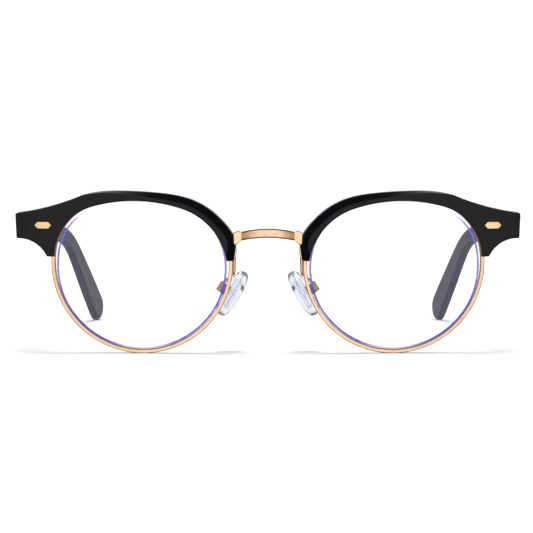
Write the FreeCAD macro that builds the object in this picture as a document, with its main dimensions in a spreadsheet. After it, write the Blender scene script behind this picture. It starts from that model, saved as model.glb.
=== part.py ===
import FreeCAD, Part
import math
import os

# Half rim eyeglasses, in millimetres. +Z is up, the front faces -Y and the temples run back along +Y.
# The +X side is the wearer's left; it is modelled first and the wearer's right is its mirror image.
# The origin is the centre of the bounding box's bottom: the table under the rims and temple tips.

SIZES = {
    # where each lens sits, and how the front is bent
    "lens_centre_x": 35.0,
    "lens_centre_z": 24.85,
    "front_offset": -72.18,
    "wrap_angle": 4.0,
    "lean_angle": 4.0,
    "base_curve": 180.0,
    # depths behind the front surface of the brow
    "brow_depth": 4.2,
    "brow_lip": 1.45,
    "rim_back": 3.45,
    "lens_front": 1.55,
    "lens_back": 3.35,
    "tongue_front": 1.95,
    "tongue_back": 2.95,
    "plate_front": 3.4,
    "plate_back": 5.2,
    "lock_front": 1.9,
    "lock_back": 5.6,
    "tab_back": 5.0,
    "channel_back": 14.0,
    # the lens outline: a circle below, three arcs above
    "rim_circle": 24.1,
    "rim_temporal_arc": 15.1,
    "rim_nasal_arc": 17.5,
    "rim_top_arc": 41.9,
    "rim_width": 1.05,
    "rim_edge": 0.22,
    "tongue_width": 0.4,
    # the brow's edge over the lens
    "brow_circle": 24.25,
    "brow_temporal_arc": 14.78,
    "brow_nasal_arc": 18.27,
    "brow_top_arc": 41.85,
    "brow_edge": 0.3,
    "facet_back": 3.3,
    "facet_front": 0.9,
    "facet_inset": 3.2,
    "plaque_length": 4.7,
    "plaque_height": 1.75,
    "plaque_thick": 0.65,
    "recess_margin": 0.38,
    "recess_depth": 0.5,
    # bridge
    "bridge_half": 7.3,
    "bridge_depth": 2.4,
    "bridge_groove": 0.15,
    "bridge_edge": 0.5,
    "collar_edge": 0.25,
    # temple hinge
    "hinge_x": 64.6,
    "hinge_y": 12.5,
    "hinge_z": 35.2,
    "barrel_radius": 1.3,
    "barrel_height": 1.75,
    "barrel_gap": 0.05,
    "pin_radius": 0.7,
    "pin_clearance": 0.05,
    # temple
    "butt_y": 10.3,
    "temple_inner_x": 66.5,
    "temple_outer_x": 69.1,
    "temple_root_half": 3.45,
    "temple_neck_half": 2.6,
    "temple_sink": 0.1,
    "temple_drop": 3.0,
    "temple_run": 90.0,
    "ear_radius": 28.0,
    "ear_angle": 42.0,
    "ear_run": 28.15,
    "tip_radius": 4.4,
    "wrap_start_y": 93.4,
    "wrap_radius": 60.0,
    "wrap_turn": 14.3,
    "wrap_run": 45.0,
    "temple_edge": 1.15,
    "core_thick": 1.1,
    "core_height": 2.2,
    # nose pads
    "pad_x": 12.0,
    "pad_y": 9.0,
    "pad_z": 17.6,
    "pad_tilt": -31.0,
    "pad_splay": 66.0,
    "pad_length": 14.0,
    "pad_width": 7.6,
    "pad_thick": 2.4,
    "pad_gap": 1.5,
    "pad_edge": 0.95,
    "insert_thick": 0.7,
    "arm_radius": 0.45,
    "far": 40.0,
}

Vector = FreeCAD.Vector
Rotation = FreeCAD.Rotation
Placement = FreeCAD.Placement
X_AXIS = Vector(1, 0, 0)
Y_AXIS = Vector(0, 1, 0)
Z_AXIS = Vector(0, 0, 1)

doc = FreeCAD.newDocument("HalfRimEyeglasses")
sheet = doc.addObject("Spreadsheet::Sheet", "Sizes")
for row, (alias, value) in enumerate(SIZES.items(), start=1):
    sheet.set(f"A{row}", alias)
    sheet.set(f"B{row}", str(value))
    sheet.setAlias(f"B{row}", alias)
doc.recompute()


def size(alias):
    return float(sheet.get(alias))


# FRONT is the whole part's frame, with Y counted back from the middle of the lens's front.
# LENS is the left lens's own frame: X towards the temple, Y back along the lens axis, Z up.
FRONT = Placement(Vector(0, size("front_offset"), 0), Rotation())
LENS = FRONT * Placement(
    Vector(size("lens_centre_x"), 0, size("lens_centre_z")),
    Rotation(X_AXIS, size("lean_angle")) * Rotation(Z_AXIS, size("wrap_angle")),
)
PAD = FRONT * Placement(
    Vector(size("pad_x"), size("pad_y"), size("pad_z")),
    Rotation(Y_AXIS, size("pad_tilt")) * Rotation(Z_AXIS, size("pad_splay")),
)


# ---------------------------------------------------------------- building helpers

def bind(item, **expressions):
    for name, expression in expressions.items():
        item.setExpression(name, expression)
    return item


def at(frame, x=0.0, y=0.0, z=0.0):
    return frame * Placement(Vector(x, y, z), Rotation())


def new_sketch(body, name, plane, geometry, offset=0.0):
    sketch = body.newObject("Sketcher::SketchObject", name)
    origin_plane = next(item for item in body.Origin.OriginFeatures if item.Role == plane)
    sketch.AttachmentSupport = [(origin_plane, "")]
    sketch.MapMode = "FlatFace"
    sketch.AttachmentOffset = Placement(Vector(0, 0, offset), Rotation())
    for edge in geometry:
        sketch.addGeometry(edge)
    return sketch


def prism(name, plane, geometry, length, frame, midplane=True, reverse=False):
    """A sketch on one of the body's own planes, padded by the expression length."""
    body = doc.addObject("PartDesign::Body", name)
    sketch = new_sketch(body, name + "Sketch", plane, geometry)
    pad = body.newObject("PartDesign::Pad", name + "Pad")
    pad.Profile = sketch
    pad.Midplane = midplane
    pad.Reversed = reverse
    bind(pad, Length=length)
    body.Placement = frame
    return body


def cut(name, base, *tools):
    for number, tool in enumerate(tools, start=1):
        last = number == len(tools)
        result = doc.addObject("Part::Cut", name if last else f"{name}Cut{number}")
        result.Base = base
        result.Tool = tool
        base = result
    return base


def common(name, first, second):
    result = doc.addObject("Part::Common", name)
    result.Base = first
    result.Tool = second
    return result


def fuse(name, *shapes):
    result = doc.addObject("Part::MultiFuse", name)
    result.Shapes = list(shapes)
    result.Refine = True
    return result


def sphere(name, depth):
    """A sphere that lies the given depth behind the brow's front surface."""
    ball = doc.addObject("Part::Sphere", name)
    ball.Placement = at(LENS, y=size("base_curve"))
    return bind(ball, Radius=f"Sizes.base_curve - {depth}")


def shell(name, front, back):
    """The space between two depths behind the front surface; it follows the lens's curve."""
    return cut(name, sphere(name + "Front", front), sphere(name + "Back", back))


def curved(name, body, front, back):
    """A prism cut to the curve of the front between two depths."""
    return common(name, body, shell(name + "Shell", front, back))


def box(name, frame, x_range, y_range, z_range):
    block = doc.addObject("Part::Box", name)
    block.Length = x_range[1] - x_range[0]
    block.Width = y_range[1] - y_range[0]
    block.Height = z_range[1] - z_range[0]
    block.Placement = at(frame, x_range[0], y_range[0], z_range[0])
    return block


def cylinder(name, frame, radius, height):
    rod = doc.addObject("Part::Cylinder", name)
    rod.Placement = frame
    return bind(rod, Radius=str(radius), Height=str(height))


def screw(name, frame, shaft_radius, shaft_length, head_radius, head_height):
    """A slotted screw: its head starts at the frame and stands along +Z, its shaft runs along -Z."""
    slot_width = head_radius * 0.3
    slot_depth = head_height * 0.5
    shaft = cylinder(name + "Shaft", at(frame, z=-shaft_length), shaft_radius, shaft_length)
    head = cylinder(name + "Head", frame, head_radius, head_height)
    slot = box(name + "Slot", frame, (-head_radius, head_radius), (-slot_width / 2, slot_width / 2),
               (head_height - slot_depth, head_height + slot_depth))
    return cut(name, fuse(name + "Blank", shaft, head), slot)


def rounded(name, base, radius, chosen):
    """Rounds the base's edges for which chosen(edge) holds."""
    doc.recompute()
    result = doc.addObject("Part::Fillet", name)
    result.Base = base
    result.Edges = [(index, radius, radius)
                    for index, edge in enumerate(base.Shape.Edges, start=1) if chosen(edge)]
    return result


def on_curve(depth):
    """A test for edges that follow the front's curve at a depth."""
    radius = size("base_curve") - depth
    centre = LENS.multVec(Vector(0, size("base_curve"), 0))

    def test(edge):
        start, end = edge.FirstParameter, edge.LastParameter
        places = [edge.valueAt(start + share * (end - start)) for share in (0, 0.3, 0.7, 1)]
        return all(abs(place.distanceToPoint(centre) - radius) < 0.001 for place in places)

    return test


def line(start, end):
    return Part.LineSegment(Vector(*start, 0), Vector(*end, 0))


def arc(start, middle, end):
    return Part.Arc(Vector(*start, 0), Vector(*middle, 0), Vector(*end, 0))


def spline(points):
    curve = Part.BSplineCurve()
    curve.interpolate([Vector(x, y, 0) for x, y in points])
    return curve


def polygon(points):
    return [line(points[index - 1], points[index]) for index in range(len(points))]


def rectangle(x_range, y_range):
    (left, right), (low, high) = x_range, y_range
    return polygon([(left, low), (right, low), (right, high), (left, high)])


# ---------------------------------------------------------------- the lens outline

class LensOutline:
    """A circle about the lens centre, closed above by a temporal, a top and a nasal arc, all tangent."""

    def __init__(self, name, temporal_start, nasal_end):
        self.circle = size(name + "_circle")
        self.temporal = size(name + "_temporal_arc")
        self.nasal = size(name + "_nasal_arc")
        self.top = size(name + "_top_arc")
        self.temporal_start = math.radians(temporal_start)
        self.nasal_end = math.radians(nasal_end)
        self.temporal_centre = self.polar(self.circle - self.temporal, self.temporal_start)
        self.nasal_centre = self.polar(self.circle - self.nasal, self.nasal_end)
        self.top_centre = self.find_top_centre()
        self.temporal_end = self.direction(self.top_centre, self.temporal_centre)
        self.nasal_start = self.direction(self.top_centre, self.nasal_centre)

    @staticmethod
    def polar(radius, angle):
        return (radius * math.cos(angle), radius * math.sin(angle))

    @staticmethod
    def direction(start, end):
        return math.atan2(end[1] - start[1], end[0] - start[0])

    def find_top_centre(self):
        """The point as far from both side arcs' centres as tangent arcs need, on the lower side."""
        reach_temporal = self.top - self.temporal
        reach_nasal = self.top - self.nasal
        gap_x = self.nasal_centre[0] - self.temporal_centre[0]
        gap_z = self.nasal_centre[1] - self.temporal_centre[1]
        gap = math.hypot(gap_x, gap_z)
        along = (reach_temporal ** 2 - reach_nasal ** 2 + gap ** 2) / (2 * gap)
        across = math.sqrt(reach_temporal ** 2 - along ** 2)
        return (self.temporal_centre[0] + (gap_x * along - gap_z * across) / gap,
                self.temporal_centre[1] + (gap_z * along + gap_x * across) / gap)

    def piece(self, centre, radius, start, end):
        circle = Part.Circle(Vector(*centre, 0), Z_AXIS, radius)
        return Part.ArcOfCircle(circle, start, end)

    def upper(self, offset, start=None, end=None):
        """The temporal, top and nasal arcs, each moved outwards by the offset."""
        start = self.temporal_start if start is None else start
        end = self.nasal_end if end is None else end
        return [
            self.piece(self.temporal_centre, self.temporal + offset, start, self.temporal_end),
            self.piece(self.top_centre, self.top + offset, self.temporal_end, self.nasal_start),
            self.piece(self.nasal_centre, self.nasal + offset, self.nasal_start, end),
        ]

    def closed(self, offset):
        lower = self.piece((0, 0), self.circle + offset, self.nasal_end, self.temporal_start + 2 * math.pi)
        return self.upper(offset) + [lower]


RIM = LensOutline("rim", temporal_start=8.44, nasal_end=185.0)
BROW = LensOutline("brow", temporal_start=8.44, nasal_end=201.5)


# ---------------------------------------------------------------- rim and lens

LOCK_X = (24.6, 27.9)
LOCK_UPPER_Z = (6.47, 8.9)
LOCK_LOWER_Z = (4.0, 6.35)
LOCK_SCREW = (26.7, 5.9)
SLIT_X = (20.0, 28.0)
SLIT_Y = (-5.0, 15.0)


def lens_prism(name, geometry):
    """An outline in the lens's frame, long enough to pass through the whole front."""
    return prism(name, "XZ_Plane", geometry, "Sizes.far", LENS)


def make_lens(core):
    tongue = lens_prism("LensTongue", RIM.closed(size("tongue_width")))
    return fuse(
        "Lens",
        curved("LensBlank", core, "Sizes.lens_front", "Sizes.lens_back"),
        curved("LensEdge", tongue, "Sizes.tongue_front", "Sizes.tongue_back"),
    )


def make_eyewire(lens):
    """A closed rim, slit on the temple side where the lock screw draws it together."""
    ring = lens_prism("RimRing", RIM.closed(0) + RIM.closed(size("rim_width")))
    blank = curved("RimBlank", ring, "Sizes.brow_lip", "Sizes.rim_back")
    front, back = on_curve(size("brow_lip")), on_curve(size("rim_back"))
    blank = rounded("RimRound", blank, size("rim_edge"), lambda edge: front(edge) or back(edge))
    slit = box("RimSlit", LENS, SLIT_X, SLIT_Y, (LOCK_LOWER_Z[1], LOCK_UPPER_Z[0]))
    return cut("Eyewire", blank, lens, slit)


def make_rim_lock(rim_disc):
    lower = lens_prism("LockBlock", rectangle(LOCK_X, LOCK_LOWER_Z))
    return cut("LockBlank", curved("LockCurve", lower, "Sizes.lock_front", "Sizes.lock_back"), rim_disc)


def make_rim_screw():
    """Driven upwards from under the lower block into the upper one."""
    start = LENS * Placement(Vector(LOCK_SCREW[0], LOCK_SCREW[1], LOCK_LOWER_Z[0]), Rotation(X_AXIS, 180))
    return screw("RimScrew", start, shaft_radius=0.45, shaft_length=4.4, head_radius=0.8, head_height=0.55)


# ---------------------------------------------------------------- metal end piece and hinge

PLATE_X = (25.4, 31.4)
PLATE_Z = (7.4, 12.9)


def barrel_ranges():
    """The three barrels of the temple hinge, lowest first."""
    height = size("barrel_height")
    gap = size("barrel_gap")
    start = size("hinge_z") - 1.5 * height - gap
    return [(start + index * (height + gap), start + index * (height + gap) + height) for index in range(3)]


def barrel(name, low, high):
    frame = at(FRONT, size("hinge_x"), size("hinge_y"), low)
    return cylinder(name, frame, "Sizes.barrel_radius", high - low)


def make_hinge_screw():
    low = barrel_ranges()[0][0]
    high = barrel_ranges()[2][1]
    return screw("HingeScrew", at(FRONT, size("hinge_x"), size("hinge_y"), high),
                 size("pin_radius"), high - low, head_radius=1.15, head_height=0.5)


def make_end_piece(rim_disc, rim_screw, hinge_screw):
    """Plate behind the brow, the rim's upper lock block and the two outer hinge barrels."""
    plate_outline = lens_prism("PlateOutline", rectangle(PLATE_X, PLATE_Z))
    plate = curved("Plate", plate_outline, "Sizes.plate_front", "Sizes.plate_back")
    lock_outline = lens_prism("UpperLockOutline", rectangle(LOCK_X, LOCK_UPPER_Z))
    lock = curved("UpperLock", lock_outline, "Sizes.lock_front", "Sizes.lock_back")
    pieces = [plate, cut("UpperLockBlank", lock, rim_disc)]
    arm_half = 1.1
    arm_root = 8.6
    lower, _, upper = barrel_ranges()
    for number, (low, high) in enumerate((lower, upper), start=1):
        x_range = (size("hinge_x") - arm_half, size("hinge_x") + arm_half)
        pieces.append(box(f"HingeArm{number}", FRONT, x_range, (arm_root, size("hinge_y")), (low, high)))
        pieces.append(barrel(f"HingeBarrel{number}", low, high))
    return cut("EndPieceBlank", fuse("EndPieceFuse", *pieces), rim_screw, hinge_screw)


# ---------------------------------------------------------------- brow

TOP_CORNER = (16.6, 18.6)
NASAL_SIDE = [
    (11.7, 19.6), (3.3, 19.85), (-5.0, 19.35), (-13.3, 17.75), (-18.9, 14.8),
    (-22.4, 11.65), (-24.7, 8.8), (-25.7, 6.6), (-25.9, 4.2), (-25.6, 1.9),
]


def facet_edge(shares):
    """The nasal side moved towards the lens centre, by more the nearer a point is to the nose."""
    points = [TOP_CORNER] + NASAL_SIDE
    start = math.atan2(points[0][1], points[0][0])
    end = math.atan2(points[-1][1], points[-1][0])
    moved = []
    for x, z in points:
        along = (math.atan2(z, x) - start) / (end - start)
        scale = 1 - (shares[0] + along * (shares[1] - shares[0])) / math.hypot(x, z)
        moved.append((x * scale, z * scale))
    return moved


def corner_arc(before, corner, after, radius):
    """The arc that rounds a corner between two straight runs, as its start, middle and end."""
    before, corner, after = (Vector(*point, 0) for point in (before, corner, after))
    back = (before - corner).normalize()
    on = (after - corner).normalize()
    half_angle = back.getAngle(on) / 2
    reach = radius / math.tan(half_angle)
    middle = corner + (back + on).normalize() * (radius / math.sin(half_angle) - radius)
    return [(point.x, point.y) for point in (corner + back * reach, middle, corner + on * reach)]


def brow_outline():
    """The brow from the end piece's top, over the lens to the nasal tip, and back along the lens."""
    tip_z = 0.8
    corner = 0.5
    tip_start = math.asin((tip_z - BROW.nasal_centre[1]) / BROW.nasal)
    inner_tip = (BROW.nasal_centre[0] - BROW.nasal * math.cos(tip_start), tip_z)
    leg_z = 1.7
    leg_angle = math.asin((leg_z - BROW.temporal_centre[1]) / BROW.temporal)
    inner_leg = (BROW.temporal_centre[0] + BROW.temporal * math.cos(leg_angle), leg_z)
    tip = corner_arc(NASAL_SIDE[-2], (-25.45, tip_z), inner_tip, corner)
    shoulder = corner_arc((34.9, 7.0), (35.22, 13.45), (30.0, 14.5), corner)
    heel = corner_arc((33.0, 6.45), (34.87, 6.6), (35.0, 8.0), corner)
    return [
        arc(shoulder[2], (25.6, 15.45), TOP_CORNER),
        spline([TOP_CORNER] + NASAL_SIDE[:-1] + [tip[0]]),
        arc(*tip),
        line(tip[2], inner_tip),
        *reversed(BROW.upper(0, start=leg_angle, end=math.pi - tip_start)),
        line(inner_leg, (26.2, leg_z)),
        arc((26.2, leg_z), (28.9, 4.9), heel[0]),
        arc(*heel),
        line(heel[2], shoulder[0]),
        arc(*shoulder),
    ]


def make_brow_blank():
    """A slab with rounded edges, less the sloping facet along its nasal side."""
    blank = lens_prism("BrowWall", brow_outline())
    beyond = 3.0
    margin = -0.03
    below_tip = -1.0
    body = doc.addObject("PartDesign::Body", "FacetCutter")
    outlines = []
    for name, plane, shares in (("FacetBack", "facet_back", (margin, margin)),
                                ("FacetFront", "facet_front", (0.0, size("facet_inset")))):
        inner = facet_edge(shares)
        outer = facet_edge((-beyond, -beyond))
        inner.append((inner[-1][0], below_tip))
        outer.append((outer[-1][0], below_tip))
        edges = [spline(inner), line(inner[-1], outer[-1]), spline(outer), line(outer[0], inner[0])]
        outlines.append(new_sketch(body, name, "XZ_Plane", edges, -size(plane)))
    loft = body.newObject("PartDesign::AdditiveLoft", "FacetLoft")
    loft.Profile = outlines[0]
    loft.Sections = [outlines[1]]
    loft.Ruled = True
    body.Placement = LENS
    slab = curved("BrowSlab", blank, "0", "Sizes.brow_depth")
    front_rounded = rounded("BrowFrontRound", slab, size("brow_edge"), on_curve(0))
    on_back = on_curve(size("brow_depth"))
    lens_side_top = 18.0
    lens_side_end = 24.5

    def outer_back(edge):
        """Holds for the back's edges along the top and the end piece, not for those over the lens."""
        middle = LENS.inverse().multVec(edge.valueAt((edge.FirstParameter + edge.LastParameter) / 2))
        return on_back(edge) and (middle.z > lens_side_top or middle.x > lens_side_end)

    both_rounded = rounded("BrowBackRound", front_rounded, size("brow_edge"), outer_back)
    return cut("BrowBlank", both_rounded, body)


# ---------------------------------------------------------------- brow fixings and plaque

TAB_X = (12.2, 15.8)
TAB_Z = (15.0, 18.4)
TAB_SCREW = (14.0, 17.8)
PLATE_SCREW = (27.1, 11.3)
PLAQUE_CENTRE = (27.25, 10.35)


def surface_frame(x, z, depth):
    """A frame on the front's curve at the given depth, its Y axis pointing squarely into it."""
    radius = size("base_curve")
    tangent = Rotation(Vector(0, -1, 0), Vector(x, -math.sqrt(radius ** 2 - x ** 2 - z ** 2), z))
    middle = LENS * Placement(Vector(0, radius, 0), tangent)
    return at(middle, y=depth - radius)


def make_brow_tab(lens_core, brow_blank, rim_space_solid):
    """A small tab soldered to the back of the rim, reaching up over the back of the brow."""
    outline = lens_prism("TabOutline", rectangle(TAB_X, TAB_Z))
    blank = curved("TabCurve", outline, "Sizes.rim_back", "Sizes.tab_back")
    outside = cut("TabOutside", brow_blank, rim_space_solid)
    return cut("TabBlank", blank, lens_core, outside)


def make_brow_screws():
    turn = Placement(Vector(), Rotation(X_AXIS, -90))
    tab_screw = screw("TabScrew", surface_frame(*TAB_SCREW, size("tab_back")) * turn,
                      shaft_radius=0.45, shaft_length=3.2, head_radius=0.75, head_height=0.45)
    plate_screw = screw("PlateScrew", surface_frame(*PLATE_SCREW, size("plate_back")) * turn,
                        shaft_radius=0.5, shaft_length=3.6, head_radius=0.9, head_height=0.45)
    return tab_screw, plate_screw


def hexagon(length, height):
    half, top, point = length / 2, height / 2, height * 0.45
    return polygon([(-half, 0), (-half + point, -top), (half - point, -top),
                    (half, 0), (half - point, top), (-half + point, top)])


def make_plaque():
    """An inlaid hexagonal plate with three grooves along it."""
    length, height = size("plaque_length"), size("plaque_height")
    frame = surface_frame(*PLAQUE_CENTRE, size("recess_depth") - size("plaque_thick"))
    plate = prism("PlaquePlate", "XZ_Plane", hexagon(length, height), "Sizes.plaque_thick", frame,
                  midplane=False, reverse=True)
    groove_half = 0.09
    groove_depth = 0.15
    groove_pitch = 0.42
    reach = length / 2 - 0.8
    grooves = []
    for number in (-1, 0, 1):
        z = number * groove_pitch
        grooves.append(box(f"PlaqueGroove{number + 2}", frame, (-reach, reach), (-groove_depth, groove_depth),
                           (z - groove_half, z + groove_half)))
    return cut("Plaque", plate, *grooves)


def make_plaque_recess():
    margin = 2 * size("recess_margin")
    frame = surface_frame(*PLAQUE_CENTRE, size("recess_depth"))
    outline = hexagon(size("plaque_length") + margin, size("plaque_height") + margin)
    return prism("PlaqueRecess", "XZ_Plane", outline, "Sizes.brow_depth", frame, midplane=False)


# ---------------------------------------------------------------- bridge

# the bridge's face at its ends and its bow forward; its lower and upper edges, in the middle and at the ends
BRIDGE_FRONT = 0.55
BRIDGE_BOW = 1.0
BRIDGE_LOW = (32.1, 31.3)
BRIDGE_HIGH = (34.6, 33.7)
GROOVE_SHARES = (0.2, 0.36, 0.52, 0.68)
GROOVE_HALF = 0.08


def plan_band(name, half, front, depth):
    """A bar seen from above, bowed forward in the middle; front is its face's place at the ends."""
    bow = BRIDGE_BOW
    outline = [
        arc((-half, front), (0, front - bow), (half, front)),
        line((half, front), (half, front + depth)),
        arc((half, front + depth), (0, front - bow + depth), (-half, front + depth)),
        line((-half, front + depth), (-half, front)),
    ]
    return prism(name, "XY_Plane", outline, "2 * Sizes.far", FRONT)


def bridge_profile(half, low_middle, low_end, high_middle, high_end):
    return [
        arc((-half, low_end), (0, low_middle), (half, low_end)),
        line((half, low_end), (half, high_end)),
        arc((half, high_end), (0, high_middle), (-half, high_end)),
        line((-half, high_end), (-half, low_end)),
    ]


def make_bridge():
    """The arched bar between the collars, with a chamfered top and fine grooves along its face."""
    half = size("bridge_half")
    depth = size("bridge_depth")
    profile = bridge_profile(half, *BRIDGE_LOW, *BRIDGE_HIGH)
    side = prism("BridgeSide", "XZ_Plane", profile, "Sizes.far", FRONT)
    plan = plan_band("BridgePlan", half, BRIDGE_FRONT, depth)
    bar = common("BridgeBar", side, plan)
    bar = rounded("BridgeRound", bar, size("bridge_edge"), lambda edge: edge.Length > half)
    groove_depth = size("bridge_groove")
    skin = plan_band("BridgeSkin", half + 1, BRIDGE_FRONT - 1, 1 + groove_depth)
    grooves = []
    for number, share in enumerate(GROOVE_SHARES, start=1):
        low = [low + share * (high - low) - GROOVE_HALF for low, high in zip(BRIDGE_LOW, BRIDGE_HIGH)]
        high = [value + 2 * GROOVE_HALF for value in low]
        line_band = prism(f"BridgeLine{number}", "XZ_Plane", bridge_profile(half + 1, *low, *high),
                          "Sizes.far", FRONT)
        grooves.append(common(f"BridgeGroove{number}", line_band, skin))
    return cut("Bridge", bar, *grooves)


COLLAR_BLOCK = [(7.3, 33.9), (8.7, 33.85), (9.55, 33.45), (9.4, 30.2), (8.4, 30.4), (7.3, 31.2)]
COLLAR_BLOCK_Y = (0.45, 2.95)
COLLAR_LEG = [
    (8.0, 33.6), (9.9, 33.2), (11.9, 32.3), (12.2, 26.4), (9.4, 26.1), (8.75, 26.5), (8.6, 28.6),
    (8.75, 29.7), (8.4, 30.6),
]
COLLAR_LEG_Y = (1.9, 3.1)
NECK_X = (7.3, 7.6)
NECK_Y = (0.0, 0.75)
NECK_Z = (30.0, 35.0)


def plan_prism(name, outline, y_range):
    """An outline seen from the front, made solid between two places in Y."""
    depth = y_range[1] - y_range[0]
    return prism(name, "XZ_Plane", polygon(outline), str(depth), at(FRONT, y=y_range[0]),
                 midplane=False, reverse=True)


def make_collar(rim_disc):
    """A block round the bridge's end, grooved where they meet, and a leg down to the rim's nasal side."""
    block = rounded("CollarBlockRound", plan_prism("CollarBlock", COLLAR_BLOCK, COLLAR_BLOCK_Y),
                    size("collar_edge"), lambda edge: True)
    leg = rounded("CollarLegRound", plan_prism("CollarLeg", COLLAR_LEG, COLLAR_LEG_Y),
                  size("collar_edge"), lambda edge: True)
    neck = box("CollarNeck", FRONT, NECK_X, NECK_Y, NECK_Z)
    return cut("BridgeCollar", fuse("CollarBlank", block, leg), rim_disc, neck)


# ---------------------------------------------------------------- nose pad and its arm

def rounded_wire(points, radius):
    """Straight runs joined by tangent arcs of one radius."""
    edges = []
    start = points[0]
    for before, corner, after in zip(points, points[1:], points[2:]):
        back = (before - corner).normalize()
        on = (after - corner).normalize()
        half_angle = back.getAngle(on) / 2
        reach = radius / math.tan(half_angle)
        middle = (back + on).normalize() * (radius / math.sin(half_angle) - radius)
        edges.append(Part.makeLine(start, corner + back * reach))
        edges.append(Part.Arc(corner + back * reach, corner + middle, corner + on * reach).toShape())
        start = corner + on * reach
    edges.append(Part.makeLine(start, points[-1]))
    return Part.Wire(edges)


# the arm's corners: from the collar in the front's frame, then down to the box in the pad's
ARM_FROM_COLLAR = [(9.2, 2.4, 27.4), (9.2, 6.4, 27.8), (9.45, 7.0, 21.8)]
ARM_TO_BOX = [(1.37, 0.33, 3.75), (0.37, -1.25, 1.15)]
ARM_BEND = 1.15
BOX_HALF = (1.5, 1.4)
BOX_BACK = (-1.6, -0.9)
BOX_FRONT = 0.9
BOX_INSIDE = 0.95
BOX_OPEN = 2.0
INSERT_HALF = (2.0, 4.2)
INSERT_FRONT = 2.2
BOSS_HALF = 0.85
BOSS_Y = (-0.55, 2.4)
BOSS_HOLE = 0.4


def make_pad_box():
    width, height = BOX_HALF
    outside = box("PadBoxOutside", PAD, (-width, width), (BOX_BACK[0], BOX_FRONT), (-height, height))
    inside = box("PadBoxInside", PAD, (-BOX_INSIDE, BOX_INSIDE), (BOX_BACK[1], BOX_OPEN),
                 (-BOX_OPEN, BOX_OPEN))
    return cut("PadBoxBlank", outside, inside)


def make_pad_screw():
    turn = Placement(Vector(BOX_HALF[0], 0, 0), Rotation(Y_AXIS, 90))
    return screw("PadScrew", PAD * turn, shaft_radius=0.35, shaft_length=2 * BOX_HALF[0],
                 head_radius=0.65, head_height=0.35)


def make_pad_arm(pad_box, collar):
    """A gooseneck of round wire from the collar's foot to the back of the pad box."""
    spine = doc.addObject("Part::Feature", "ArmSpine")
    route = [FRONT.multVec(Vector(*point)) for point in ARM_FROM_COLLAR]
    route += [PAD.multVec(Vector(*point)) for point in ARM_TO_BOX]
    spine.Shape = rounded_wire(route, ARM_BEND)
    section = doc.addObject("Part::Circle", "ArmSection")
    section.Placement = Placement(route[0], Rotation(Z_AXIS, route[1] - route[0]))
    bind(section, Radius="Sizes.arm_radius")
    sweep = doc.addObject("Part::Sweep", "ArmSweep")
    sweep.Sections = [section]
    sweep.Spine = (spine, [f"Edge{number}" for number in range(1, len(spine.Shape.Edges) + 1)])
    sweep.Solid = True
    return cut("PadArm", sweep, pad_box, collar)


def make_pad_insert():
    """The hard plate moulded into the pad, with the boss that the pad screw passes through."""
    width, height = INSERT_HALF
    plate = prism("InsertPlate", "XZ_Plane", rectangle((-width, width), (-height, height)),
                  "Sizes.insert_thick", at(PAD, y=INSERT_FRONT), midplane=False, reverse=True)
    boss = box("InsertBoss", PAD, (-BOSS_HALF, BOSS_HALF), BOSS_Y, (-BOSS_HALF, BOSS_HALF))
    hole = cylinder("InsertHole", PAD * Placement(Vector(-width, 0, 0), Rotation(Y_AXIS, 90)),
                    BOSS_HOLE, 2 * width)
    return cut("PadInsert", fuse("InsertBlank", plate, boss), hole)


def ellipse(length, width):
    outline = Part.Ellipse(Vector(0, length / 2, 0), Vector(width / 2, 0, 0), Vector(0, 0, 0))
    return [outline]


def make_nose_pad(insert):
    """An oval pad, flat towards its box and rounded towards the nose."""
    body = prism("PadBody", "XZ_Plane", ellipse(size("pad_length"), size("pad_width")), "Sizes.pad_thick",
                 at(PAD, y=size("pad_gap")), midplane=False, reverse=True)
    doc.recompute()
    slab = body.Tip
    rims = [f"Edge{index}" for index, edge in enumerate(slab.Shape.Edges, start=1) if edge.isClosed()]
    rounded = body.newObject("PartDesign::Fillet", "PadRound")
    rounded.Base = (slab, rims)
    rounded.Radius = size("pad_edge")
    body.Tip = rounded
    return cut("NosePad", body, insert)


# ---------------------------------------------------------------- temple

def temple_point(distance):
    """A point of the temple's centreline in Y and Z, and its direction's angle below level."""
    drop = math.radians(size("temple_drop"))
    ear = math.radians(size("ear_angle"))
    radius = size("ear_radius")
    run = size("temple_run")
    straight = min(distance, run)
    y = size("hinge_y") + straight * math.cos(drop)
    z = size("hinge_z") - size("temple_sink") - straight * math.sin(drop)
    bend = min(max(distance - run, 0) / radius, ear - drop)
    y += radius * (math.sin(drop + bend) - math.sin(drop))
    z -= radius * (math.cos(drop) - math.cos(drop + bend))
    rest = max(distance - run - radius * (ear - drop), 0)
    return y + rest * math.cos(ear), z - rest * math.sin(ear), drop + bend


def tip_distance():
    bend = math.radians(size("ear_angle") - size("temple_drop")) * size("ear_radius")
    return size("temple_run") + bend + size("ear_run")


def offset_points(distances, half_height, side):
    """Points beside the centreline, above it for side 1 and below it for side -1."""
    points = []
    for distance in distances:
        y, z, angle = temple_point(distance)
        reach = side * half_height(distance)
        points.append((y + reach * math.sin(angle), z + reach * math.cos(angle)))
    return points


def temple_half_height(distance):
    """Tapers from the hinge to the ear bend, then widens smoothly into the paddle."""
    root, neck, tip = size("temple_root_half"), size("temple_neck_half"), size("tip_radius")
    taper = root + (neck - root) * min(distance / size("temple_run"), 1)
    share = max(distance - size("temple_run"), 0) / (tip_distance() - size("temple_run"))
    return taper + (tip - neck) * share ** 2 * (3 - 2 * share)


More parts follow.
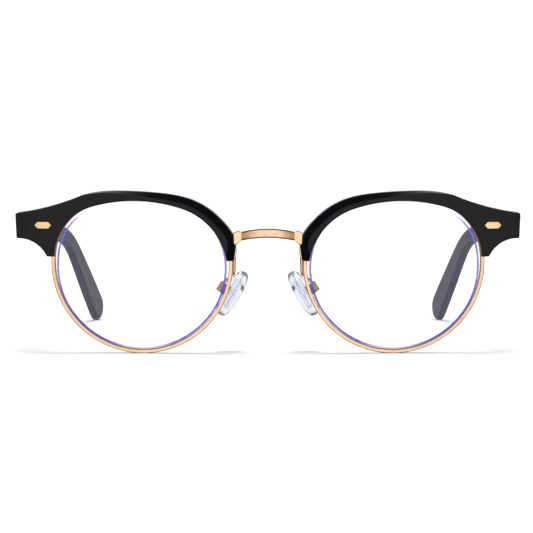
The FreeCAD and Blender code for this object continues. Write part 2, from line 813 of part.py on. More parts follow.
def temple_side(name, half_height, start, end, cap):
    """The temple seen from the side: two smooth edges, a straight butt and a rounded or straight end."""
    bend = size("temple_run")
    inner = [20.0, 45.0, 70.0, bend - 4, bend + 6, bend + 13, bend + 20, bend + 28, bend + 37]
    distances = [start] + [value for value in inner if start < value < end - 3] + [end]
    upper = offset_points(distances, half_height, 1)
    lower = offset_points(distances, half_height, -1)
    y, z, angle = temple_point(end)
    nose = (y + cap * math.cos(angle), z - cap * math.sin(angle))
    closing = arc(upper[-1], nose, lower[-1]) if cap else line(upper[-1], lower[-1])
    outline = [spline(upper), closing, spline(lower), line(lower[0], upper[0])]
    return prism(name, "YZ_Plane", outline, "4 * Sizes.far", FRONT)


def temple_plan(name, inner_x, outer_x, start_y):
    """The temple seen from above: straight, a curve in towards the head, and straight again to the tip."""
    bend_y = size("wrap_start_y")
    middle = (size("temple_inner_x") + size("temple_outer_x")) / 2
    centre_x = middle - size("wrap_radius")
    turn = math.radians(size("wrap_turn"))

    def on_arc(x, angle):
        radius = x - centre_x
        return (centre_x + radius * math.cos(angle), bend_y + radius * math.sin(angle))

    def beyond(x):
        start = on_arc(x, turn)
        return (start[0] - size("wrap_run") * math.sin(turn), start[1] + size("wrap_run") * math.cos(turn))

    outline = [
        line((outer_x, start_y), (outer_x, bend_y)),
        arc((outer_x, bend_y), on_arc(outer_x, turn / 2), on_arc(outer_x, turn)),
        line(on_arc(outer_x, turn), beyond(outer_x)),
        line(beyond(outer_x), beyond(inner_x)),
        line(beyond(inner_x), on_arc(inner_x, turn)),
        arc(on_arc(inner_x, turn), on_arc(inner_x, turn / 2), (inner_x, bend_y)),
        line((inner_x, bend_y), (inner_x, start_y)),
        line((inner_x, start_y), (outer_x, start_y)),
    ]
    return prism(name, "XY_Plane", outline, "4 * Sizes.far", FRONT)


LEAF_Y = (14.1, 23.0)
LEAF_Z = (32.6, 37.4)
LEAF_THICK = 0.9
LEAF_SINK = 0.4
RIVETS_YZ = ((16.4, 36.4), (20.6, 34.0))
CORE_START = 12.5
CORE_TIP_GAP = 9.0


def make_temple_core():
    """The stiffening wire inside the temple, from just behind the hinge to the paddle."""
    middle = (size("temple_inner_x") + size("temple_outer_x")) / 2
    half = size("core_thick") / 2
    end = tip_distance() - CORE_TIP_GAP
    side = temple_side("CoreSide", lambda distance: size("core_height") / 2, CORE_START, end, 0)
    plan = temple_plan("CorePlan", middle - half, middle + half, LEAF_Y[0])
    return common("TempleCore", side, plan)


def make_temple_hinge(hinge_screw_hole):
    """A leaf let into the temple's inner face, with the middle barrel."""
    sunk = size("temple_inner_x") + LEAF_SINK
    _, (low, high), _ = barrel_ranges()
    leaf = box("HingeLeaf", FRONT, (sunk - LEAF_THICK, sunk), LEAF_Y, LEAF_Z)
    web = box("HingeWeb", FRONT, (size("hinge_x"), sunk), (size("hinge_y"), LEAF_Y[1] - 1), (low, high))
    return cut("TempleHingeBlank", fuse("TempleHingeFuse", leaf, web, barrel("MiddleBarrel", low, high)),
               hinge_screw_hole)


def make_temple_rivets():
    face = size("temple_inner_x") + LEAF_SINK - LEAF_THICK
    shaft_radius, shaft_length = 0.55, 2.2
    head_radius, head_height = 0.9, 0.35
    rivets = []
    for number, (y, z) in enumerate(RIVETS_YZ, start=1):
        frame = FRONT * Placement(Vector(face, y, z), Rotation(Y_AXIS, -90))
        shaft = cylinder(f"RivetShaft{number}", at(frame, z=-shaft_length), shaft_radius, shaft_length)
        head = cylinder(f"RivetHead{number}", frame, head_radius, head_height)
        rivets.append(fuse(f"Rivet{number}", shaft, head))
    return rivets


def make_temple(temple_hinge, core, rivets):
    before_butt = -10.0
    side = temple_side("TempleSide", temple_half_height, before_butt, tip_distance(), size("tip_radius"))
    plan = temple_plan("TemplePlan", size("temple_inner_x"), size("temple_outer_x"), size("butt_y"))
    bar = common("TempleBar", side, plan)
    butt = FRONT.Base.y + size("butt_y")
    touch = 0.01
    bar = rounded("TempleRound", bar, size("temple_edge"), lambda edge: edge.BoundBox.YMax > butt + touch)
    return cut("Temple", bar, temple_hinge, core, *rivets)


def group(name, *solids):
    result = doc.addObject("Part::Compound", name)
    result.Links = list(solids)
    return result


# ---------------------------------------------------------------- the left side

lens_core = lens_prism("LensCore", RIM.closed(0))
rim_disc = lens_prism("RimDisc", RIM.closed(size("rim_width")))
rim_space = curved("RimSpace", rim_disc, "Sizes.brow_lip", "Sizes.channel_back")

lens = make_lens(lens_core)
rim_screw = make_rim_screw()
hinge_screw = make_hinge_screw()
tab_screw, plate_screw = make_brow_screws()
end_piece_blank = make_end_piece(rim_disc, rim_screw, hinge_screw)
rim_lock = cut("RimLock", make_rim_lock(rim_disc), rim_screw)
collar = make_collar(rim_disc)
brow_blank = make_brow_blank()
tab_blank = make_brow_tab(lens_core, brow_blank, rim_space)

pad_screw = make_pad_screw()
pad_box_blank = make_pad_box()
pad_box = cut("PadBox", pad_box_blank, pad_screw)
pad_insert = make_pad_insert()
pad_arm = make_pad_arm(pad_box_blank, collar)

pin_hole = cylinder("PinHole", at(FRONT, size("hinge_x"), size("hinge_y")),
                    "Sizes.pin_radius + Sizes.pin_clearance", "2 * Sizes.far")
temple_hinge_blank = make_temple_hinge(pin_hole)
rivets = make_temple_rivets()
temple_core = make_temple_core()

LEFT_SIDE = {
    "brow": cut("Brow", brow_blank, rim_space, end_piece_blank, rim_lock, rim_screw, tab_screw, plate_screw,
                make_plaque_recess(), collar, pad_arm),
    "eyewire": make_eyewire(lens),
    "lens": lens,
    "end_piece": cut("EndPiece", end_piece_blank, plate_screw),
    "rim_lock": rim_lock,
    "rim_screw": rim_screw,
    "brow_tab": cut("BrowTab", tab_blank, tab_screw),
    "brow_screws": group("BrowScrews", tab_screw, plate_screw),
    "plaque": make_plaque(),
    "hinge_screw": hinge_screw,
    "bridge_collar": collar,
    "pad_arm": pad_arm,
    "pad_box": pad_box,
    "pad_screw": pad_screw,
    "pad_insert": pad_insert,
    "nose_pad": make_nose_pad(pad_insert),
    "temple": make_temple(temple_hinge_blank, temple_core, rivets),
    "temple_core": temple_core,
    "temple_hinge": cut("TempleHinge", temple_hinge_blank, *rivets),
    "temple_rivets": group("TempleRivets", *rivets),
}


# ---------------------------------------------------------------- both sides, and writing them out

def mirrored(label, source):
    result = doc.addObject("Part::Mirroring", label)
    result.Source = source
    result.Base = (0, 0, 0)
    result.Normal = (1, 0, 0)
    return result


parts = {"bridge": make_bridge()}
for label, left in LEFT_SIDE.items():
    parts[label + "_left"] = left
    parts[label + "_right"] = mirrored(label + "_right", left)
for label, item in parts.items():
    item.Label = label

doc.recompute()
for item in doc.Objects:
    if {"Invalid", "Error"} & set(item.State):
        raise RuntimeError(f"{item.Name} did not build: {item.State}")

os.makedirs("parts", exist_ok=True)
for label, item in parts.items():
    shape = item.Shape
    if shape.isNull() or not shape.isValid():
        raise RuntimeError(f"{label} is not a valid solid")
    shape.exportStep(f"parts/{label}.step")
    print(f"{label}: {len(shape.Solids)} solid(s), {shape.Volume:.2f} mm3")
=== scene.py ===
"""Browline eyeglasses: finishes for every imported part, moulded lenses and nose pads, and a small studio.

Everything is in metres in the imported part's own frame: +Z up, the front faces -Y, +X is the wearer's left.
"""
import math

import bmesh
import bpy
from mathutils import Matrix, Vector
from mathutils.bvhtree import BVHTree


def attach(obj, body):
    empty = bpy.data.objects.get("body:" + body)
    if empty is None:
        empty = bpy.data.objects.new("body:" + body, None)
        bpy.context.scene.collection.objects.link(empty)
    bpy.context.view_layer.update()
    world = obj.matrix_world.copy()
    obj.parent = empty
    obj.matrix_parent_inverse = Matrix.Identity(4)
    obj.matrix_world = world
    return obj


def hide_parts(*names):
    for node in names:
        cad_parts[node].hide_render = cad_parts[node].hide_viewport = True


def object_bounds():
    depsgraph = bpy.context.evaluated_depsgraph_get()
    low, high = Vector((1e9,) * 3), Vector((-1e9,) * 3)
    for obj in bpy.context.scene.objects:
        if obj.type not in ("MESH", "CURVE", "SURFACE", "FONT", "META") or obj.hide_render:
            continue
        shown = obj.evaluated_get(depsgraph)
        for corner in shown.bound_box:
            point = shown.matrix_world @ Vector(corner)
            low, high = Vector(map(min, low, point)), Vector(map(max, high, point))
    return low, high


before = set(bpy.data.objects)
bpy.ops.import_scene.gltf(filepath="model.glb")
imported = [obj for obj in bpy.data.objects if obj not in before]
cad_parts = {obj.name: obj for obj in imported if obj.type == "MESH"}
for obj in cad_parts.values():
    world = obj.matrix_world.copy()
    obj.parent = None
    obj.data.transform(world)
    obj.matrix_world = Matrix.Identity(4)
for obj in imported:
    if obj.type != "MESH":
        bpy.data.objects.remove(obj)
CAD_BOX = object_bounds()

MM = 0.001
SIDES = {"left": 1, "right": -1}

# Where the front stands, and how each lens sits in it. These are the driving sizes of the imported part.
FRONT_Y = -72.18 * MM
LENS_CENTRE = Vector((35.0 * MM, FRONT_Y, 24.85 * MM))
LEAN = math.radians(4.0)
WRAP = math.radians(4.0)
BASE_CURVE = 180.0 * MM
LENS_FRONT = 1.55 * MM
LENS_BACK = 3.35 * MM
TONGUE_FRONT = 1.95 * MM
TONGUE_BACK = 2.95 * MM
TONGUE_WIDTH = 0.4 * MM

# The nose pad's own frame: X across the pad, Y from its box towards the nose, Z along it.
PAD_CENTRE = Vector((12.0 * MM, FRONT_Y + 9.0 * MM, 17.6 * MM))
PAD_TILT = math.radians(-31.0)
PAD_SPLAY = math.radians(66.0)
PAD_LENGTH = 14.0 * MM
PAD_WIDTH = 7.6 * MM
PAD_THICK = 2.4 * MM
PAD_GAP = 1.5 * MM


# ---------------------------------------------------------------- material helpers

class Finish:
    """A Principled material whose colour, roughness and relief come from procedural nodes."""

    def __init__(self, name, **constants):
        self.material = bpy.data.materials.new(name)
        self.material.use_nodes = True
        self.nodes = self.material.node_tree.nodes
        self.links = self.material.node_tree.links
        self.shader = self.nodes["Principled BSDF"]
        self.relief = None
        self.place = self.nodes.new("ShaderNodeTexCoord").outputs["Object"]
        for socket, value in constants.items():
            self.shader.inputs[socket.replace("_", " ")].default_value = value

    def node(self, kind, inputs=(), **settings):
        made = self.nodes.new(kind)
        for name, value in settings.items():
            setattr(made, name, value)
        for socket, value in dict(inputs).items():
            if isinstance(value, bpy.types.NodeSocket):
                self.links.new(value, made.inputs[socket])
            else:
                made.inputs[socket].default_value = value
        return made

    def stretched(self, turn=(0, 0, 0), scale=(1, 1, 1)):
        """The place on the object, turned and scaled, so that a pattern runs along one direction."""
        mapping = self.node("ShaderNodeMapping", {"Vector": self.place, "Rotation": turn, "Scale": scale})
        return mapping.outputs["Vector"]

    def noise(self, size, detail=2.0, place=None, distortion=0.0):
        """Soft noise whose features are about the given size."""
        made = self.node("ShaderNodeTexNoise", {
            "Vector": place or self.place, "Scale": 1 / size, "Detail": detail, "Distortion": distortion})
        return made.outputs["Fac"]

    def along(self, axis):
        return self.node("ShaderNodeSeparateXYZ", {"Vector": self.place}).outputs[axis]

    def spread(self, value, low, high, start=0.3, end=0.7, smooth=False):
        """The value's range from start to end, mapped to low to high."""
        made = self.node("ShaderNodeMapRange", {
            "Value": value, "From Min": start, "From Max": end, "To Min": low, "To Max": high})
        made.interpolation_type = "SMOOTHSTEP" if smooth else "LINEAR"
        return made.outputs["Result"]

    def maths(self, operation, first, second):
        return self.node("ShaderNodeMath", {0: first, 1: second}, operation=operation).outputs["Value"]

    def mixed(self, factor, first, second):
        """Two colours, or two colour sockets, mixed by a factor."""
        made = self.node("ShaderNodeMix", {"Factor": factor}, data_type="RGBA")
        for socket, value in (("A", first), ("B", second)):
            target = next(item for item in made.inputs if item.name == socket and item.type == "RGBA")
            if isinstance(value, bpy.types.NodeSocket):
                self.links.new(value, target)
            else:
                target.default_value = (*value, 1.0)
        return next(item for item in made.outputs if item.type == "RGBA")

    def drive(self, socket, value):
        self.links.new(value, self.shader.inputs[socket])

    def blend_colour(self, pattern, first, second):
        """The base colour, going from the first to the second as the pattern varies."""
        self.drive("Base Color", self.mixed(self.spread(pattern, 0, 1), first, second))

    def bump(self, height, distance, strength=1.0):
        """Adds relief of the given depth on top of any relief so far."""
        made = self.node("ShaderNodeBump", {"Height": height, "Distance": distance, "Strength": strength})
        if self.relief:
            self.links.new(self.relief, made.inputs["Normal"])
        self.relief = made.outputs["Normal"]
        self.links.new(self.relief, self.shader.inputs["Normal"])


# ---------------------------------------------------------------- materials

def black_acetate():
    """Polished black sheet acetate: a faint swirl in the colour, buffing haze and fine hairlines."""
    finish = Finish("brow_acetate", IOR=1.48, Specular_IOR_Level=0.22)
    swirl = finish.noise(4.0 * MM, detail=3.0, distortion=1.2)
    finish.blend_colour(swirl, (0.0012, 0.0012, 0.0016), (0.0028, 0.0028, 0.0044))
    haze = finish.noise(1.6 * MM, detail=4.0)
    finish.drive("Roughness", finish.spread(haze, 0.10, 0.17))
    hairlines = finish.noise(0.12 * MM, detail=2.0, place=finish.stretched(scale=(0.06, 1, 1)))
    finish.bump(hairlines, 0.0015 * MM, 0.5)
    finish.bump(finish.noise(0.9 * MM), 0.004 * MM, 0.5)
    return finish.material


def temple_acetate():
    """Satin dark grey-violet acetate with a long grain."""
    finish = Finish("temple_acetate", IOR=1.48, Specular_IOR_Level=0.2)
    grain = finish.noise(1.1 * MM, detail=3.0, place=finish.stretched(scale=(1, 0.07, 0.5)))
    finish.blend_colour(grain, (0.020, 0.020, 0.045), (0.030, 0.029, 0.064))
    haze = finish.noise(2.2 * MM, detail=4.0)
    finish.drive("Roughness", finish.spread(haze, 0.30, 0.38))
    finish.bump(finish.noise(0.25 * MM, detail=2.0), 0.0012 * MM, 0.4)
    finish.bump(grain, 0.003 * MM, 0.3)
    return finish.material


def gold(name, grain_scale, roughness, deep, light, depth=0.002 * MM, worn_ends=None):
    """Pale rose gold plate, with polishing lines along one direction and a slow change of tone. Worn ends are
    an inner and an outer distance from the part's middle plane, between which the plate turns darker."""
    finish = Finish(name, Metallic=1.0, IOR=1.45)
    tone = finish.noise(2.5 * MM, detail=3.0)
    colour = finish.mixed(finish.spread(tone, 0, 1), deep, light)
    lines = finish.noise(0.15 * MM, detail=3.0, place=finish.stretched(scale=grain_scale))
    if worn_ends:
        least_wear, depth_of_tone, dimming = 0.55, 1.6, 0.55
        sideways = finish.maths("ABSOLUTE", finish.along("X"), 0.0)
        wear = finish.maths("MULTIPLY", finish.spread(sideways, 0.0, 1.0, *worn_ends, smooth=True),
                            finish.spread(lines, least_wear, 1.0))
        colour = finish.mixed(wear, colour, tuple(channel ** depth_of_tone * dimming for channel in deep))
    finish.drive("Base Color", colour)
    finish.drive("Roughness", finish.spread(lines, *roughness))
    finish.bump(lines, depth, 0.6)
    return finish.material


def screw_steel():
    """Gold washed screw heads with fine turning rings."""
    finish = Finish("screw_steel", Metallic=1.0)
    tone = finish.noise(0.5 * MM, detail=2.0)
    finish.blend_colour(tone, (0.66, 0.54, 0.40), (0.82, 0.72, 0.58))
    fine = finish.noise(0.06 * MM, detail=2.0)
    finish.drive("Roughness", finish.spread(fine, 0.22, 0.36))
    finish.bump(fine, 0.001 * MM, 0.5)
    return finish.material


def core_steel():
    """Bright drawn wire, with lines along the draw."""
    finish = Finish("core_steel", Metallic=1.0)
    lines = finish.noise(0.12 * MM, detail=2.0, place=finish.stretched(scale=(1, 0.03, 1)))
    finish.blend_colour(lines, (0.52, 0.52, 0.54), (0.66, 0.66, 0.68))
    finish.drive("Roughness", finish.spread(lines, 0.2, 0.34))
    finish.bump(lines, 0.002 * MM, 0.5)
    return finish.material


def lens_clear():
    """Clear resin with an antireflection coat: nearly all see-through, with a faint cool sheen."""
    finish = Finish("lens_clear", IOR=1.5, Alpha=0.03, Specular_IOR_Level=0.5)
    haze = finish.noise(9.0 * MM, detail=1.0)
    finish.blend_colour(haze, (0.90, 0.92, 1.0), (0.96, 0.97, 1.0))
    finish.drive("Roughness", finish.spread(haze, 0.02, 0.04))
    return finish.material


def lens_edge():
    """The lens's polished edge as the coat shows it: deep blue low down, lilac and fainter higher up."""
    finish = Finish("lens_edge", IOR=1.5, Specular_IOR_Level=0.1)
    height = finish.along("Z")
    colour = finish.mixed(finish.spread(height, 0, 1, 12 * MM, 30 * MM, smooth=True),
                          (0.010, 0.018, 0.52), (0.22, 0.20, 0.82))
    streaks = finish.noise(1.3 * MM, detail=2.0)
    finish.drive("Base Color", finish.mixed(finish.spread(streaks, 0, 0.3), colour, (0.20, 0.22, 0.88)))
    rising = finish.spread(height, 0.3, 1.0, 0.4 * MM, 4.0 * MM, smooth=True)
    fading = finish.spread(height, 1.0, 0.1, 35 * MM, 40 * MM, smooth=True)
    broken = finish.spread(streaks, 0.8, 1.0)
    finish.drive("Alpha", finish.maths("MULTIPLY", finish.maths("MULTIPLY", rising, fading), broken))
    finish.drive("Roughness", finish.spread(streaks, 0.12, 0.25))
    return finish.material


def pad_silicone():
    """Clear soft silicone with a bluish cast, a moulded satin skin and a few pale clouds."""
    finish = Finish("pad_silicone", IOR=1.41, Transmission_Weight=0.92)
    clouds = finish.noise(2.4 * MM, detail=2.0)
    finish.blend_colour(clouds, (0.84, 0.88, 1.0), (0.94, 0.96, 1.0))
    finish.drive("Roughness", finish.spread(finish.noise(0.8 * MM), 0.05, 0.14))
    finish.bump(finish.noise(0.5 * MM), 0.004 * MM, 0.4)
    return finish.material


def pad_insert():
    """The hard clear plate inside a nose pad."""
    finish = Finish("pad_insert", IOR=1.44, Transmission_Weight=0.9)
    clouds = finish.noise(1.5 * MM, detail=2.0)
    finish.blend_colour(clouds, (0.86, 0.88, 0.98), (0.94, 0.95, 1.0))
    finish.drive("Roughness", finish.spread(finish.noise(0.4 * MM), 0.08, 0.18))
    finish.bump(finish.noise(0.3 * MM), 0.002 * MM, 0.4)
    return finish.material


def make_finishes():
    """Every finish by name. The gold is brushed along each piece's own run."""
    deep, light = (0.90, 0.57, 0.33), (0.98, 0.68, 0.42)
    return {
        "brow": black_acetate(),
        "temple": temple_acetate(),
        "gold_rim": gold("gold_rim", (0.25, 1, 0.25), (0.16, 0.28), deep, light),
        "gold_bridge": gold("gold_bridge", (0.05, 1, 1), (0.16, 0.34), (0.80, 0.48, 0.28), (0.98, 0.74, 0.52),
                            depth=0.006 * MM, worn_ends=(2.5 * MM, 6.6 * MM)),
        "gold_plaque": gold("gold_plaque", (0.08, 1, 1), (0.2, 0.34), (0.84, 0.58, 0.30), (1.0, 0.80, 0.46)),
        "gold_small": gold("gold_small", (1, 1, 0.2), (0.12, 0.24), (0.88, 0.56, 0.32), (1.0, 0.74, 0.48)),
        "screw": screw_steel(),
        "core": core_steel(),
        "lens": lens_clear(),
        "lens_edge": lens_edge(),
        "pad": pad_silicone(),
        "insert": pad_insert(),
    }


NODE_FINISHES = {
    "bridge": "gold_bridge",
    "brow": "brow",
    "eyewire": "gold_rim",
    "end_piece": "gold_small",
    "rim_lock": "gold_small",
    "rim_screw": "screw",
    "brow_tab": "gold_small",
    "brow_screws": "screw",
    "plaque": "gold_plaque",
    "hinge_screw": "screw",
    "bridge_collar": "gold_small",
    "pad_arm": "gold_small",
    "pad_box": "gold_small",
    "pad_screw": "screw",
    "pad_insert": "insert",
    "temple": "temple",
    "temple_core": "core",
    "temple_hinge": "gold_small",
    "temple_rivets": "gold_small",
    "lens": "lens",
    "nose_pad": "pad",
}


def dress_packed_parts(finishes):
    for name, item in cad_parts.items():
        kind = name.removesuffix("_left").removesuffix("_right")
        item.data.materials.clear()
        item.data.materials.append(finishes[NODE_FINISHES[kind]])


# ---------------------------------------------------------------- mesh helpers

def mirrored(side):
    return Matrix.Diagonal((SIDES[side], 1, 1, 1))


def mesh_object(name, mesh, materials):
    """An object from a bmesh, smooth shaded, with its faces turned outwards."""
    bmesh.ops.recalc_face_normals(mesh, faces=mesh.faces)
    data = bpy.data.meshes.new(name)
    mesh.to_mesh(data)
    mesh.free()
    for polygon in data.polygons:
        polygon.use_smooth = True
    for material in materials:
        data.materials.append(material)
    item = bpy.data.objects.new(name, data)
    bpy.context.scene.collection.objects.link(item)
    return item


def add_loops(mesh, loops):
    """Skins a list of point loops with quads, in order, and closes both ends. Gives each band's faces."""
    rings = [[mesh.verts.new(point) for point in loop] for loop in loops]
    bands = []
    for first, second in zip(rings, rings[1:]):
        count = len(first)
        bands.append([mesh.faces.new((first[index], first[(index + 1) % count],
                                      second[(index + 1) % count], second[index])) for index in range(count)])
    for ring in (rings[0], rings[-1]):
        centre = mesh.verts.new(sum((vertex.co for vertex in ring), Vector()) / len(ring))
        for index in range(len(ring)):
            mesh.faces.new((centre, ring[index], ring[(index + 1) % len(ring)]))
    return bands


# ---------------------------------------------------------------- lenses

def lens_matrix():
    """From the left lens's own frame to the part's frame."""
    return Matrix.Translation(LENS_CENTRE) @ Matrix.Rotation(LEAN, 4, "X") @ Matrix.Rotation(WRAP, 4, "Z")


def sag(x, z, depth):
    """How far back the curved front is at a place, for a surface the given depth behind it."""
    return BASE_CURVE - math.sqrt((BASE_CURVE - depth) ** 2 - x ** 2 - z ** 2)


def lens_outline(count):
    """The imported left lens's outline in its own frame: its radius in each direction, without the tongue."""
    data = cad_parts["lens_left"].data
    to_lens = lens_matrix().inverted()
    points = [to_lens @ vertex.co for vertex in data.vertices]
    tree = BVHTree.FromPolygons(points, [tuple(polygon.vertices) for polygon in data.polygons])
    outside, usual_radius = 40.0 * MM, 22.5 * MM
    back = sag(usual_radius, 0, (TONGUE_FRONT + TONGUE_BACK) / 2)
    radii = []
    for index in range(count):
        angle = 2 * math.pi * index / count
        outwards = Vector((math.cos(angle), 0, math.sin(angle)))
        distance = tree.ray_cast(outwards * outside + Vector((0, back, 0)), -outwards)[3]
        radii.append(outside - distance - TONGUE_WIDTH)
    return radii


def smoothed(radii, passes=6):
    """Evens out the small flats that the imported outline's tessellation leaves."""
    for _ in range(passes):
        following = radii[1:] + radii[:1]
        radii = [(radii[index - 1] + 2 * radii[index] + following[index]) / 4 for index in range(len(radii))]
    return radii


def make_lens(side, radii, finishes):
    """A moulded meniscus: smooth faces, a narrow coated band in front and a V bevel in the rim's groove."""
    clearance = 0.02 * MM
    band_width = 0.6 * MM
    widest_gap = 0.5 * MM
    bevel = 0.08 * MM
    band_start = bevel + 0.02 * MM
    tongue = 0.36 * MM
    parting_from, parting_rise = -14 * MM, 18 * MM
    matrix = lens_matrix()

    def loop(depth, inset=0.0, share=1.0, parting=0.0):
        """One ring of points. The parting moves it away from the rim, by more the higher up it is."""
        points = []
        for index, radius in enumerate(radii):
            angle = 2 * math.pi * index / len(radii)
            height = radius * math.sin(angle)
            lift = min(max((height - parting_from) / parting_rise, 0), 1)
            reach = (radius - clearance - inset - parting * lift * lift * (3 - 2 * lift)) * share
            x, z = reach * math.cos(angle), reach * math.sin(angle)
            points.append(matrix @ Vector((x, sag(x, z, depth), z)))
        return points

    shares = (0.06, 0.25, 0.5, 0.75, 0.93)
    inner = band_width + bevel
    front = [loop(LENS_FRONT, inner, share, widest_gap) for share in shares]
    front += [loop(LENS_FRONT, inset, 1.0, widest_gap) for inset in (inner, band_start)]
    edge = [
        loop(LENS_FRONT, bevel),
        loop(LENS_FRONT + bevel),
        loop(TONGUE_FRONT),
        loop((TONGUE_FRONT + TONGUE_BACK) / 2, -tongue),
        loop(TONGUE_BACK),
        loop(LENS_BACK - bevel),
        loop(LENS_BACK, bevel),
    ]
    back = [loop(LENS_BACK, inner, share) for share in (1.0, *reversed(shares))]
    mesh = bmesh.new()
    bands = add_loops(mesh, front + edge + back)
    for face in bands[len(shares)]:
        face.material_index = 1
    mesh.transform(mirrored(side))
    lens = mesh_object(f"lens_moulded_{side}", mesh, [finishes["lens"], finishes["lens_edge"]])
    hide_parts(f"lens_{side}")
    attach(lens, "front")


# ---------------------------------------------------------------- nose pads

def pad_matrix():
    """From the left pad's own frame to the part's frame."""
    turn = Matrix.Rotation(PAD_TILT, 4, "Y") @ Matrix.Rotation(PAD_SPLAY, 4, "Z")
    return Matrix.Translation(PAD_CENTRE) @ turn


def pad_loop(depth, inset, share=1.0, count=64):
    """An egg-shaped ring across the pad, a little narrower at its upper end and fuller than an ellipse."""
    narrowing, fullness = 0.07, 2.25
    points = []
    for index in range(count):
        angle = 2 * math.pi * index / count
        across, along = math.cos(angle), math.sin(angle)
        half_width = PAD_WIDTH / 2 * (1 - narrowing * along) - inset
        half_length = PAD_LENGTH / 2 - inset
        reach = (abs(across) ** fullness + abs(along) ** fullness) ** (-1 / fullness) * share
        points.append(Vector((half_width * across * reach, PAD_GAP + depth, half_length * along * reach)))
    return points


def make_nose_pad(side, finishes):
    """A moulded silicone pad: crowned face, soft edge, a shallow hollow behind round its hard insert."""
    rim_depth, rim_inside, rim_outside = 0.03 * MM, 1.05 * MM, 0.55 * MM
    hollow, hollow_inset, slope_inset = 0.35 * MM, 1.7 * MM, 1.35 * MM
    back = [pad_loop(hollow, hollow_inset, share) for share in (0.15, 0.75, 1.0)]
    back += [
        pad_loop(hollow / 2, slope_inset),
        pad_loop(rim_depth, rim_inside),
        pad_loop(rim_depth, rim_outside),
    ]
    rounds = 7
    side_radius, side_margin = PAD_THICK / 2, 0.05 * MM
    side_inset, side_round = 0.04 * MM, 0.75 * MM
    sides = []
    for index in range(1, rounds):
        turn = math.pi * (index / rounds - 0.5)
        depth = side_radius + (side_radius - side_margin) * math.sin(turn)
        sides.append(pad_loop(depth, side_inset + side_round * (1 - math.cos(turn))))
    crown = PAD_THICK - 0.02 * MM
    face = [
        pad_loop(crown - 0.22 * MM, 0.9 * MM),
        pad_loop(crown - 0.09 * MM, 1.5 * MM),
        pad_loop(crown - 0.03 * MM, 2.3 * MM, 0.9),
        pad_loop(crown, 2.3 * MM, 0.25),
    ]
    mesh = bmesh.new()
    add_loops(mesh, back + sides + face)
    mesh.transform(mirrored(side) @ pad_matrix())
    pad = mesh_object(f"nose_pad_moulded_{side}", mesh, [finishes["pad"]])
    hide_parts(f"nose_pad_{side}")
    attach(pad, f"pad_{side}")


# ---------------------------------------------------------------- studio

def make_floor():
    """A wide pale table top."""
    half, segments = 6.0, 24
    mesh = bmesh.new()
    bmesh.ops.create_grid(mesh, x_segments=segments, y_segments=segments, size=half)
    finish = Finish("floor_white", Specular_IOR_Level=0.1)
    tone = finish.noise(60 * MM, detail=2.0)
    finish.blend_colour(tone, (0.90, 0.90, 0.90), (0.91, 0.91, 0.91))
    finish.drive("Roughness", finish.spread(tone, 0.85, 0.95))
    floor = mesh_object("floor", mesh, [finish.material])
    floor.location.z = CAD_BOX[0].z
    floor.visible_glossy = False


class World:
    """The studio's surroundings: white to light things by, and what glossy surfaces mirror."""

    def __init__(self):
        world = bpy.data.worlds.new("studio")
        bpy.context.scene.world = world
        world.use_nodes = True
        self.nodes, self.links = world.node_tree.nodes, world.node_tree.links
        split = self.nodes.new("ShaderNodeSeparateXYZ")
        self.links.new(self.nodes.new("ShaderNodeTexCoord").outputs["Generated"], split.inputs["Vector"])
        self.forward = split.outputs["Y"]
        background = self.nodes["Background"]
        background.inputs["Color"].default_value = (1.0, 1.0, 1.0, 1.0)
        self.strength = background.inputs["Strength"]

    def stepped(self, value, start, end, low, high):
        """Runs smoothly from low to high as the value goes from start to end."""
        step = self.nodes.new("ShaderNodeMapRange")
        step.interpolation_type = "SMOOTHSTEP"
        self.links.new(value, step.inputs["Value"])
        for socket, amount in zip(("From Min", "From Max", "To Min", "To Max"), (start, end, low, high)):
            step.inputs[socket].default_value = amount
        return step.outputs["Result"]

    def combined(self, operation, first, second):
        node = self.nodes.new("ShaderNodeMath")
        node.operation = operation
        for index, value in enumerate((first, second)):
            if isinstance(value, float):
                node.inputs[index].default_value = value
            else:
                self.links.new(value, node.inputs[index])
        return node.outputs["Value"]


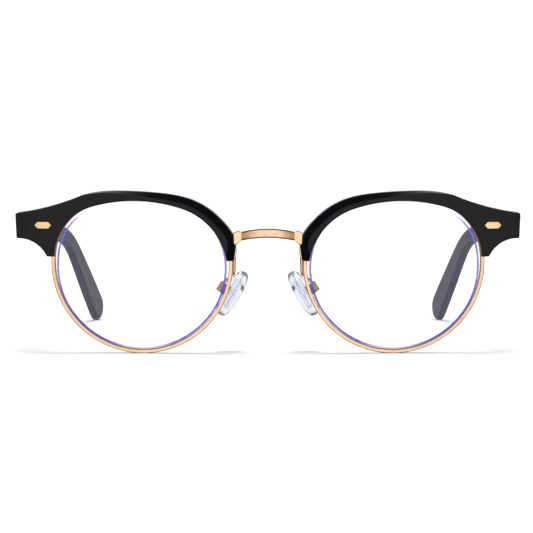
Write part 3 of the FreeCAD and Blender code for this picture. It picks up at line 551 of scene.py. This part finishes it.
def make_world():
    """White to look at and to light by. Glossy surfaces mirror a wide pale card on the camera's side, a dark
    room beyond it, and grey again behind the object, which gives polished edges their contrast."""
    world = World()
    seen, ambient = 1.1, 0.66
    card_light, room_light, light_behind = 1.15, 0.08, 0.5
    card = world.stepped(world.forward, -0.86, -0.66, card_light, room_light)
    behind = world.stepped(world.forward, 0.3, 0.9, 0.0, light_behind)
    mirrored_room = world.combined("MAXIMUM", card, behind)
    path = world.nodes.new("ShaderNodeLightPath").outputs
    see_through = world.combined("SUBTRACT", 1.0, path["Is Transmission Ray"])
    mirror = world.combined("MULTIPLY", path["Is Glossy Ray"], see_through)
    strength = seen
    for ray, light in ((path["Is Diffuse Ray"], ambient), (mirror, mirrored_room)):
        difference = world.combined("SUBTRACT", light, seen)
        strength = world.combined("ADD", world.combined("MULTIPLY", ray, difference), strength)
    world.links.new(strength, world.strength)


def soft_light(name, place, aim, size, power):
    data = bpy.data.lights.new(name, "AREA")
    data.shape = "RECTANGLE"
    data.size, data.size_y = size
    data.energy = power
    light = bpy.data.objects.new(name, data)
    light.location = place
    light.rotation_euler = (Vector(aim) - Vector(place)).to_track_quat("-Z", "Y").to_euler()
    bpy.context.scene.collection.objects.link(light)


def make_lights():
    """A wide sun straight above for the soft shadow under the rims, and a box at each side for the metal."""
    data = bpy.data.lights.new("overhead", "SUN")
    data.energy = 2.1
    data.angle = math.radians(24.0)
    overhead = bpy.data.objects.new("overhead", data)
    overhead.visible_glossy = False
    bpy.context.scene.collection.objects.link(overhead)
    across, ahead, above = 0.8, -0.75, 0.45
    middle_of_front = (0, -0.05, 0.02)
    for name, side in (("left_box", -1), ("right_box", 1)):
        soft_light(name, (side * across, ahead, above), middle_of_front, size=(0.35, 0.6), power=1.0)


def make_camera():
    """A long lens from straight ahead and slightly above, as close as the temples' perspective asks for."""
    distance = 0.620
    width_at_front = 0.146
    height = 52 * MM
    aim = Vector((-0.4 * MM, FRONT_Y, 24.25 * MM))
    data = bpy.data.cameras.new("camera")
    data.sensor_width = 36.0
    data.lens = data.sensor_width * distance / width_at_front
    data.clip_start = 0.01
    camera = bpy.data.objects.new("camera", data)
    camera.location = (aim.x, FRONT_Y - distance, height)
    camera.rotation_euler = (aim - camera.location).to_track_quat("-Z", "Y").to_euler()
    bpy.context.scene.collection.objects.link(camera)
    bpy.context.scene.camera = camera


# ---------------------------------------------------------------- the scene

bpy.context.scene.view_settings.view_transform = "Standard"
make_camera()
make_world()
make_lights()
make_floor()

finishes = make_finishes()
dress_packed_parts(finishes)
outline = smoothed(lens_outline(count=288))
for side in SIDES:
    make_lens(side, outline, finishes)
    make_nose_pad(side, finishes)
